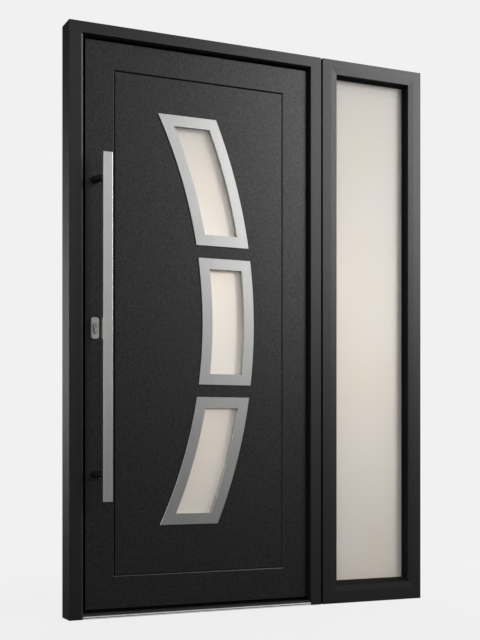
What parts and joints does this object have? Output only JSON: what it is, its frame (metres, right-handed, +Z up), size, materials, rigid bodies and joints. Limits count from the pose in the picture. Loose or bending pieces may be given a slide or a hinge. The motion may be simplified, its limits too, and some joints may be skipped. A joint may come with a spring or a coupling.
{
  "type": "door with sidelight",
  "caption": "Modern metal entrance door with curved frosted windows, a long upright pull bar and a frosted glass sidelight; the leaf opens inward.",
  "frame": {"origin": "middle of the footprint of the whole frame, on the floor, where the threshold's underside lies", "axes": "+X to the right as seen from outside, +Y inward through the doorway, +Z up"},
  "size_m": [1.45, 0.187, 2.1],
  "materials": {
    "anthracite_coat": "fine-textured matt powder coat",
    "frosted_glass": "satin frosted",
    "brushed_trim": "satin brushed",
    "brushed_bar": "brushed lengthways",
    "black_metal": "satin black",
    "black_rubber": "matt",
    "black_plastic": "matt",
    "mill_aluminium": "satin anodised",
    "spacer_metal": "matt",
    "grey_fitting": "satin grey",
    "nickel": "satin nickel"
  },
  "bodies": {
    "frame": {"coupling_strip": "black_rubber", "door_head": "anthracite_coat", "door_reveal_liner": "black_rubber", "hinge_jamb": "anthracite_coat", "hinges_frame_side": "black_metal", "lock_jamb": "anthracite_coat", "sidelight_end_beads": "anthracite_coat", "sidelight_gasket": "black_rubber", "sidelight_head": "anthracite_coat", "sidelight_inner_glass": "frosted_glass", "sidelight_left_post": "anthracite_coat", "sidelight_outer_glass": "frosted_glass", "sidelight_right_post": "anthracite_coat", "sidelight_side_beads": "anthracite_coat", "sidelight_sill": "anthracite_coat", "sidelight_spacer": "spacer_metal", "strike_plate": "brushed_bar", "threshold": "mill_aluminium", "threshold_cover": "black_plastic"},
    "leaf": {"bottom_rail": "anthracite_coat", "bottom_window_inner_glass": "frosted_glass", "bottom_window_inner_trim": "brushed_trim", "bottom_window_outer_glass": "frosted_glass", "bottom_window_outer_trim": "brushed_trim", "hinge_stile": "anthracite_coat", "hinges_leaf_side": "black_metal", "inner_lock_plate": "grey_fitting", "latch_plate": "brushed_bar", "leaf_seal": "black_rubber", "lever": "grey_fitting", "lever_rosette": "grey_fitting", "lock_cylinder": "nickel", "lock_stile": "anthracite_coat", "middle_window_inner_glass": "frosted_glass", "middle_window_inner_trim": "brushed_trim", "middle_window_outer_glass": "frosted_glass", "middle_window_outer_trim": "brushed_trim", "outer_lock_plate": "grey_fitting", "panel": "anthracite_coat", "pull_bar": "brushed_bar", "pull_bar_standoffs": "black_metal", "top_rail": "anthracite_coat", "top_window_inner_glass": "frosted_glass", "top_window_inner_trim": "brushed_trim", "top_window_outer_glass": "frosted_glass", "top_window_outer_trim": "brushed_trim", "window_spacers": "spacer_metal"}
  },
  "joints": [
    {"name": "leaf_hinge", "type": "hinge", "parent": "frame", "child": "leaf", "pos_m": [0.237, 0.0565, 1.05], "axis": [0, 0, -1], "range_deg": [0, 95]}
  ]
}
